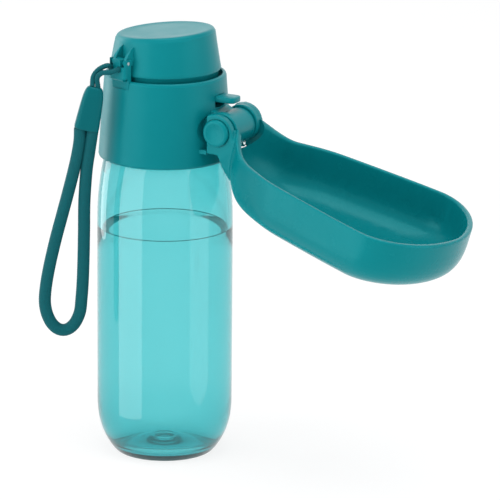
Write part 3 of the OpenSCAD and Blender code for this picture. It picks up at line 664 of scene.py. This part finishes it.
bowlSteps = [0.9985, 0.994, 0.985, 0.972, 0.955, 0.93, 0.9, 0.86, 0.81, 0.75, 0.68, 0.6, 0.5, 0.4, 0.28, 0.16,
             0.05]
outLine, inLine = outline(0), outline(trough["wall"])
bowlRings = [bowlRing(outLine, k, trough["depth"]) for k in reversed(bowlSteps)]
lip = [(0, -0.7), (0.12, -0.28), (0.45, -0.05), (0.9, 0), (1.5, 0), (1.95, -0.05), (2.28, -0.28),
       (trough["wall"], -0.7)]
bowlRings += [lipRing(inset, n) for inset, n in lip]
bowlRings += [bowlRing(inLine, k, trough["depth"] - trough["wall"]) for k in bowlSteps]
bowl = loftRings(bowlRings)


# One hinge ear as an extruded outline seen along the pin, measured from the pin
def earSolid(side):
    dx, dz = trough["fromX"] - trough["pinX"], trough["fromZ"] - trough["pinZ"]

    def onBowl(s, n):
        n -= trough["rimDrop"]
        return (s * cos(tilt) + n * sin(tilt) + dx, n * cos(tilt) - s * sin(tilt) + dz, 0)
    back, down = -trough["earBack"], -trough["earDown"]
    corners = [(back, down, 0.4), (back, trough["earUp"] - 0.4, 1.2), (-1.2, 9.1, 0)]
    for angle in (84, 72, 60, 48, 36, 24, 14):      # round the pin
        a = math.radians(angle)
        corners.append((-1.2 + 9.5 * cos(a), -0.5 + 9.5 * sin(a), 0))
    corners += [(9.2, -1.5, 3), (10.6, -3.6, 3), onBowl(16, rimAt(16)), onBowl(20, -3), onBowl(21, -14)]
    corners += [(9.5, -27, 4), (5.4, -22.5, 3), (2.6, -17.2, 3), (1.3, -13.4, 3), (0.4, down - 0.3, 1)]
    rings = []
    for y in (trough["earOut"] - trough["earT"], trough["earOut"]):
        ring = []
        for x, z in roundCorners(corners):
            lean = 1.7 * smooth01((-z - 13) / 12)   # the foot leans in and runs out in the bowl's wall
            ring.append((trough["pinX"] + x, side * (y - lean), trough["pinZ"] + z))
        rings.append(ring)
    return loftRings(rings)


# Bowl and ears flow into each other: one voxel mesh, relaxed, and then cut sharp at the hinge
troughObj = solidObject("trough_skin", joinParts([bowl, earSolid(-1), earSolid(1)]))
fixNormals(troughObj)
remesh = troughObj.modifiers.new("remesh", "REMESH")
remesh.mode = "VOXEL"
remesh.voxel_size = trough["voxel"] * mm
applyModifiers(troughObj)
# nothing of the ears stands inside the bowl
cavity = [bowlRing(inLine, k, trough["depth"] - trough["wall"]) for k in reversed(bowlSteps)]
cavity += [lipRing(trough["wall"], n) for n in (-0.7, 0.2)]
booleanWith(troughObj, loftRings(cavity), "DIFFERENCE")
relax = troughObj.modifiers.new("relax", "SMOOTH")
relax.factor = 0.5
relax.iterations = 8
applyModifiers(troughObj)
# room for the barrel and washers between the ears, seats for the round caps, and the pin's hole
earIn = trough["earOut"] - trough["earT"]
booleanWith(troughObj, cylinderPart(trough["sweep"], earIn, trough["pinX"], trough["pinZ"]), "DIFFERENCE")
between = [[(30, y, 168.6), (49.5, y, 168.6), (49.5, y, 195), (30, y, 195)] for y in (-earIn, earIn)]
booleanWith(troughObj, loftRings(between), "DIFFERENCE")
for side in (-1, 1):
    seat = cylinderPart(trough["seatR"], trough["seatHalf"], trough["pinX"], trough["pinZ"],
                        yMid=side * (trough["earOut"] + trough["seatOut"]))
    booleanWith(troughObj, seat, "DIFFERENCE")
booleanWith(troughObj, cylinderPart(trough["pinHole"], 22, trough["pinX"], trough["pinZ"]), "DIFFERENCE")
thin = troughObj.modifiers.new("thin", "DECIMATE")
thin.ratio = trough["thin"]
applyModifiers(troughObj)
dress(troughObj, "trough", troughMat, "trough", angle=40)
print("trough ready", len(troughObj.data.polygons))


# Hinge between the ears: barrel with its foot, washers, round caps, the outlet and the release tab
hinge = {
    "barrelX": 37.7, "barrelZ": 171.3, "barrelR": 8.5, "barrelHalf": 8.6, "barrelEdge": 0.5,
    "barrelHole": 2.6, "wallX": 29.5, "footLow": 163.6, "footHigh": 180.9, "washerR": 9.1,
    "washerHole": 2.5, "washerEdge": 0.5, "washerGap": (0.08, 0.05),
    "capR": 6.75, "capOut": 2.0, "capIn": 0.5,
    "outletX": 39.0, "outletZ": 164.8, "outletR": 2.3, "outletHole": 1.3, "outletTip": 44.8,
    "tabFrom": 11.0, "tabTip": 40.6, "tabHalf": 4.5, "tabLow": 184.2,
}


# A closed (radius, distance along the pin) outline turned about the pin's direction
def turned(profile, x, z, side=1, sides=96):
    points, faces = revolve(profile, sides)
    if side < 0:
        faces = [tuple(reversed(f)) for f in faces]
    return [(x + px, side * pz, z + py) for px, py, pz in points], [tuple(reversed(f)) for f in faces]


pinAt = (trough["pinX"], trough["pinZ"])
barrelAt = (hinge["barrelX"], hinge["barrelZ"])
half, r, rim = hinge["barrelHalf"], hinge["barrelR"], hinge["barrelEdge"]
profile = [(0, -half), (r - rim, -half), (r, -half + rim), (r, half - rim), (r - rim, half), (0, half)]
barrel = solidObject("barrel_skin", turned(profile, *barrelAt))
footShape = roundCorners([
    (hinge["wallX"], hinge["footLow"], 0), (hinge["barrelX"], hinge["barrelZ"] - r + 0.4, 0),
    (hinge["barrelX"], hinge["barrelZ"] + r - 0.4, 0), (34.5, 178.6, 2), (31.8, 180.2, 2),
    (hinge["wallX"], hinge["footHigh"], 0)])
footRings = [[(x, y, z) for x, z in footShape] for y in (-half + 0.3, half - 0.3)]
booleanWith(barrel, loftRings(footRings), "UNION")
booleanWith(barrel, cylinderPart(hinge["barrelHole"], 12, *pinAt), "DIFFERENCE")
dress(barrel, "head", trimMat, "hinge_barrel")

for side, name in ((-1, "near"), (1, "far")):
    a, b = half + hinge["washerGap"][0], earIn - hinge["washerGap"][1]
    r, rim, hole = hinge["washerR"], hinge["washerEdge"], hinge["washerHole"]
    profile = [(hole, a), (r - rim, a), (r, a + rim), (r, b - rim), (r - rim, b), (hole, b)]
    washer = solidObject("washer_" + name + "_skin", turned(profile, *pinAt, side))
    fixNormals(washer)
    dress(washer, "trough", trimMat, "washer_" + name)
for side, name in ((-1, "near"), (1, "far")):
    a, r, out = trough["earOut"] - hinge["capIn"], hinge["capR"], trough["earOut"] + hinge["capOut"]
    profile = [(0, a), (r, a), (r, out - 0.9), (r - 0.12, out - 0.5), (r - 0.45, out - 0.2), (r - 1.0, out),
               (r - 1.9, out), (r - 2.1, out - 0.12), (0, out - 0.12)]
    pinCap = solidObject("pin_cap_" + name + "_skin", turned(profile, *pinAt, side))
    fixNormals(pinCap)
    dress(pinCap, "trough", trimMat, "pin_cap_" + name)

r, hole, reach = hinge["outletR"], hinge["outletHole"], hinge["outletTip"] - hinge["outletX"]
points, faces = revolve([(hole, 0), (r, 0), (r, reach - 0.6), (r - 0.25, reach), (hole, reach)], 64)
points = [(hinge["outletX"] + z, y, hinge["outletZ"] + x) for x, y, z in points]
outlet = solidObject("outlet_skin", (points, faces))
fixNormals(outlet)
dress(outlet, "head", tubeMat, "outlet_tube")

tabFrom, tabHalf, tip = hinge["tabFrom"], hinge["tabHalf"], hinge["tabTip"]
tabShape = roundCorners([(tabFrom, -tabHalf, 0), (tip, -tabHalf, 2.6), (tip + 0.4, 0, 0), (tip, tabHalf, 2.6),
                         (tabFrom, tabHalf, 0)])
tabRings = []
for up, inset in ((0, 0.5), (0.2, 0.12), (0.5, 0), (2.2, 0), (2.65, 0.12), (2.9, 0.5)):
    ring = []
    for x, y in tabShape:
        # the underside is a little higher over the spring
        lift = 0.3 * (1 - smooth01((x - 31) / 2)) if up < 0.6 else 0
        ring.append((tabFrom + (x - tabFrom) * (1 - inset / 30), y * (1 - inset / tabHalf),
                     hinge["tabLow"] + up + lift))
    tabRings.append(ring)
tab = solidObject("tab_skin", loftRings(tabRings))
fixNormals(tab)
dress(tab, "release", trimMat, "release_tab")

# The spring is a steel copy of the part's mesh, set in its place
springMesh = nodes["valve_spring"].data.copy()
spring = bpy.data.objects.new("spring_skin", springMesh)
bpy.context.scene.collection.objects.link(spring)
springMesh.materials.clear()
springMesh.materials.append(steelMat)
low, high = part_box("valve_spring")
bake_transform(spring)
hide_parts("valve_spring")
print("hinge ready")


# Flip cap
cap = {
    "low": 191.9, "h": 24.6, "r": 27.7, "taper": 3.2, "slant": 4.8, "round": 1.9, "wall": 2.0, "edge": 197.6,
    "skirtR": 26.3, "skirtWall": 1.4, "sides": 160, "straight": 7.0,
    "armY": 3.9, "armT": 1.8, "pinR": 30.0, "pinZ": 204.7, "eyeR": 1.6, "finDown": 4.5,
}
capTop = cap["low"] + cap["h"]
capTopR = cap["r"] - cap["taper"]
lean = tan(math.radians(cap["slant"]))


# The side's radius at a height
def capSide(z):
    return cap["r"] - cap["taper"] * (z - cap["edge"]) / (capTop - cap["edge"])


# One ring of the cap. k is its share of the top's slant
def capRing(k, r, z):
    ring = []
    for i in range(cap["sides"]):
        t = 2 * pi * i / cap["sides"]
        ring.append((r * cos(t), r * sin(t), z + k * r * cos(t) * lean))
    return ring


low, skirtR, rimZ, topRound = cap["low"], cap["skirtR"], cap["edge"], cap["round"]
capRings = [capRing(0, r, z) for r, z in (
    (skirtR - 0.5, low), (skirtR, low + 0.5), (skirtR, rimZ - 0.3), (skirtR + 0.15, rimZ - 0.08),
    (skirtR + 0.4, rimZ), (cap["r"] - 0.45, rimZ), (cap["r"] - 0.12, rimZ + 0.12), (cap["r"], rimZ + 0.45))]
rimZ += 0.45
mid = capTop - cap["straight"]
for j in range(1, 9):
    z = lerp(rimZ, mid, j / 8)
    capRings.append(capRing(0.4 * j / 8, capSide(z), z))
for j in range(1, 7):
    z = lerp(mid, capTop - topRound, j / 6)
    capRings.append(capRing(lerp(0.4, 1, j / 6), capSide(z), z))
for j in range(1, 9):
    t = pi / 2 * j / 8
    capRings.append(capRing(1, capTopR - topRound * (1 - cos(t)), capTop - topRound * (1 - sin(t))))
for k in (0.9, 0.885, 0.87, 0.6, 0.3, 0.05):        # a shallow field sunk into the top
    capRings.append(capRing(1, k * capTopR, capTop + (0 if k > 0.88 else -0.12)))
inCapR = capTopR - cap["wall"]
skirtIn = skirtR - cap["skirtWall"]
innerRings = [capRing(1, k * (capTopR - 4), capTop - cap["wall"]) for k in (0.05, 0.5, 0.8)]
innerRings += [capRing(k, r, z) for k, r, z in (
    (1, inCapR - 3, capTop - cap["wall"]), (1, inCapR - 1.6, capTop - 2.8), (1, inCapR - 1.3, capTop - 4),
    (0, skirtIn, rimZ), (0, skirtIn, low + 0.3), (0, skirtIn + 0.3, low))]
capPoints, capFaces = loftRings(capRings + innerRings, closedLoop=True)
# the middle of the top and of its underside are discs, with no faces between them
count, topRing = cap["sides"], len(capRings) - 1
del capFaces[topRing * count:(topRing + 1) * count]
capFaces.append(tuple(range(topRing * count, (topRing + 1) * count)))
capFaces.append(tuple(reversed(range((topRing + 1) * count, (topRing + 2) * count))))


# One hinge arm: an eye round the pin, and a fin that sharpens towards its tip on the cap's wall
def finSolid(side):
    tipZ = capTop - cap["finDown"]
    shape = [(capSide(cap["pinZ"]) - 0.9, cap["pinZ"] - cap["eyeR"])]
    for i in range(11):
        t = math.radians(-90 + 15 * i)
        shape.append((cap["pinR"] + cap["eyeR"] * cos(t), cap["pinZ"] + cap["eyeR"] * sin(t)))
    shape += [(30.3, 207.0), (29.5, 208.2), (28.6, 209.2), (27.6, 210.1), (27.1, 210.9)]
    shape += [(capSide(tipZ) + 0.05, tipZ), (capSide(tipZ) - 0.9, tipZ), (capSide(208) - 0.9, 208)]
    rings = []
    for k in (-1, -0.6, 0.6, 1):
        ring = []
        for r, z in shape:
            share = 1 - 0.72 * smooth01((z - 207) / (tipZ - 207))
            ring.append(lugPoint(r, side * cap["armY"] + k * cap["armT"] / 2 * share, z))
        rings.append(ring)
    return loftRings(rings)


capObj = solidObject("cap_skin", (capPoints, capFaces))
for side in (-1, 1):
    booleanWith(capObj, finSolid(side), "UNION")
dress(capObj, "cap", capMat, "flip_cap", angle=38)
print("cap ready")


# Floor and light
studio = {
    "floor": 14, "floorGlow": 0.84, "aim": (0.02, 0, 0.12), "shade": (0.33, 0.34, 0.35),
    "cardAway": 1.2, "cardHalf": 0.34, "cardHigh": 1.4, "cardGlow": 0.45,
}


# A flat piece of the stage, in metres
def stageSheet(name, corners, material):
    mesh = bpy.data.meshes.new(name)
    mesh.from_pydata(corners, [], [(0, 1, 2, 3)])
    obj = bpy.data.objects.new(name, mesh)
    bpy.context.scene.collection.objects.link(obj)
    mesh.materials.append(material)
    return obj


floorMat, floorTree, floorShader, _ = newMaterial("floor")
noiseColour(floorTree, floorShader, (0.215, 0.215, 0.215), (0.225, 0.225, 0.225), 3)
floorShader.inputs["Roughness"].default_value = 0.9
floorShader.inputs["Specular IOR Level"].default_value = 0.0
floorShader.inputs["Emission Color"].default_value = (1, 1, 1, 1)
floorShader.inputs["Emission Strength"].default_value = studio["floorGlow"]
f, z = studio["floor"], -0.0004
floorPlane = stageSheet("floor", [(-f, -f, z), (f, -f, z), (f, f, z), (-f, f, z)], floorMat)
floorPlane.visible_glossy = False       # shiny pieces mirror the lamps that reach below it


# A soft box round the object. Azimuth 0 is -Y, and it grows towards +X
def areaLight(name, azimuth, elevation, distance, width, height, power):
    data = bpy.data.lights.new(name, "AREA")
    data.shape = "RECTANGLE"
    data.size = width
    data.size_y = height
    data.energy = power
    obj = bpy.data.objects.new(name, data)
    bpy.context.scene.collection.objects.link(obj)
    az, el = math.radians(azimuth), math.radians(elevation)
    direction = Vector((sin(az) * cos(el), -cos(az) * cos(el), sin(el)))
    obj.location = Vector(studio["aim"]) + direction * distance
    obj.rotation_euler = direction.to_track_quat("Z", "Y").to_euler()
    obj.visible_transmission = False


lights = {      # azimuth, elevation, distance, width, height, power
    "key": (-33, 6, 1.5, 1.3, 1.8, 15.0),
    "right": (90, 6, 1.6, 1.1, 1.6, 5.5),
    "left": (-100, 10, 1.5, 0.6, 1.4, 6.0),
    "top": (60, 75, 1.6, 1.4, 1.4, 16.0),
    "back": (208, 20, 1.8, 1.6, 0.9, 1.5),
}
for name, values in lights.items():
    areaLight(name, *values)

# Two dim cards behind the object, seen only through the bottle, darken its edges
cardMat, cardTree, cardShader, _ = newMaterial("card")
noiseColour(cardTree, cardShader, (0.02, 0.02, 0.02), (0.03, 0.03, 0.03), 3)
cardShader.inputs["Emission Color"].default_value = (0.35, 0.95, 1, 1)
cardShader.inputs["Emission Strength"].default_value = studio["cardGlow"]
for name, azimuth in (("card_left", 238), ("card_right", 178)):
    a = math.radians(azimuth)
    mid = Vector((sin(a), -cos(a), 0)) * studio["cardAway"]
    across = Vector((cos(a), sin(a), 0)) * studio["cardHalf"]
    high = Vector((0, 0, studio["cardHigh"]))
    card = stageSheet(name, [mid - across, mid + across, mid + across + high, mid - across + high], cardMat)
    card.visible_camera = card.visible_diffuse = card.visible_glossy = card.visible_shadow = False

# The world is white where it is seen, directly, mirrored or through clear plastic, and a mid grey as light
world = bpy.data.worlds.new("world")
bpy.context.scene.world = world
world.use_nodes = True
tree = world.node_tree
tree.nodes.clear()
out = tree.nodes.new("ShaderNodeOutputWorld")
background = tree.nodes.new("ShaderNodeBackground")
path = tree.nodes.new("ShaderNodeLightPath")
sees = [tree.nodes.new("ShaderNodeMath") for _ in range(2)]
for node in sees:
    node.operation = "MAXIMUM"
tree.links.new(path.outputs["Is Camera Ray"], sees[0].inputs[0])
tree.links.new(path.outputs["Is Transmission Ray"], sees[0].inputs[1])
tree.links.new(sees[0].outputs[0], sees[1].inputs[0])
tree.links.new(path.outputs["Is Glossy Ray"], sees[1].inputs[1])
blendNode = tree.nodes.new("ShaderNodeMix")
blendNode.data_type = "RGBA"
blendNode.inputs["A"].default_value = (*studio["shade"], 1)
blendNode.inputs["B"].default_value = (1, 1, 1, 1)
tree.links.new(sees[1].outputs[0], blendNode.inputs["Factor"])
tree.links.new(blendNode.outputs["Result"], background.inputs["Color"])
tree.links.new(background.outputs["Background"], out.inputs["Surface"])
bpy.context.scene.view_settings.view_transform = "Standard"
print("light ready")
